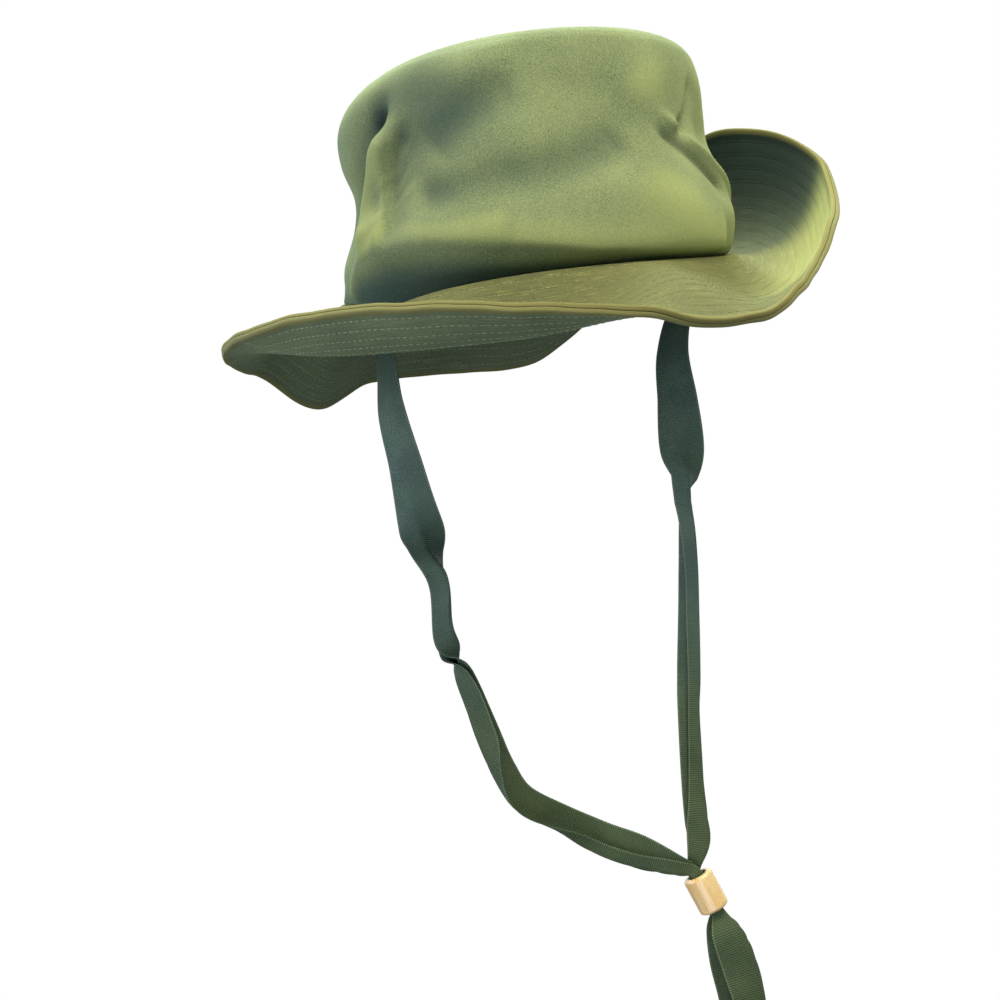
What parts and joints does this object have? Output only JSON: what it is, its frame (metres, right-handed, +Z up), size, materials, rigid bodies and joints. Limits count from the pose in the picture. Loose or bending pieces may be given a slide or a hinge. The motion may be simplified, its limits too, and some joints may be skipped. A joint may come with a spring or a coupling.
{
  "type": "velvet bush hat with ribbon chin strap",
  "caption": "Soft velvet bush hat: tall creased crown, wide row-stitched brim turned up at one side, and a grosgrain chin strap loop through a wooden bead",
  "frame": {"origin": "centre of the head opening, at the seam of crown and brim", "axes": "+Z up along the head, -Y the front of the hat, +X the side towards the wearer's left ear, where the brim is turned up"},
  "size_m": [0.3062, 0.3082, 0.4902],
  "materials": {
    "crown_velvet": "mid green cotton velvet, short soft pile",
    "brim_velvet": "olive green cotton velvet, quilted with rows of cream thread",
    "grosgrain_ribbon": "dark green cross-ribbed ribbon, dull",
    "pale_wood": "pale turned wood under clear varnish"
  },
  "bodies": {
    "root": {"crown_side": "crown_velvet", "crown_tip": "crown_velvet", "brim_top": "brim_velvet", "brim_under": "brim_velvet", "chin_strap": "grosgrain_ribbon", "strap_bead": "pale_wood"}
  },
  "joints": []
}
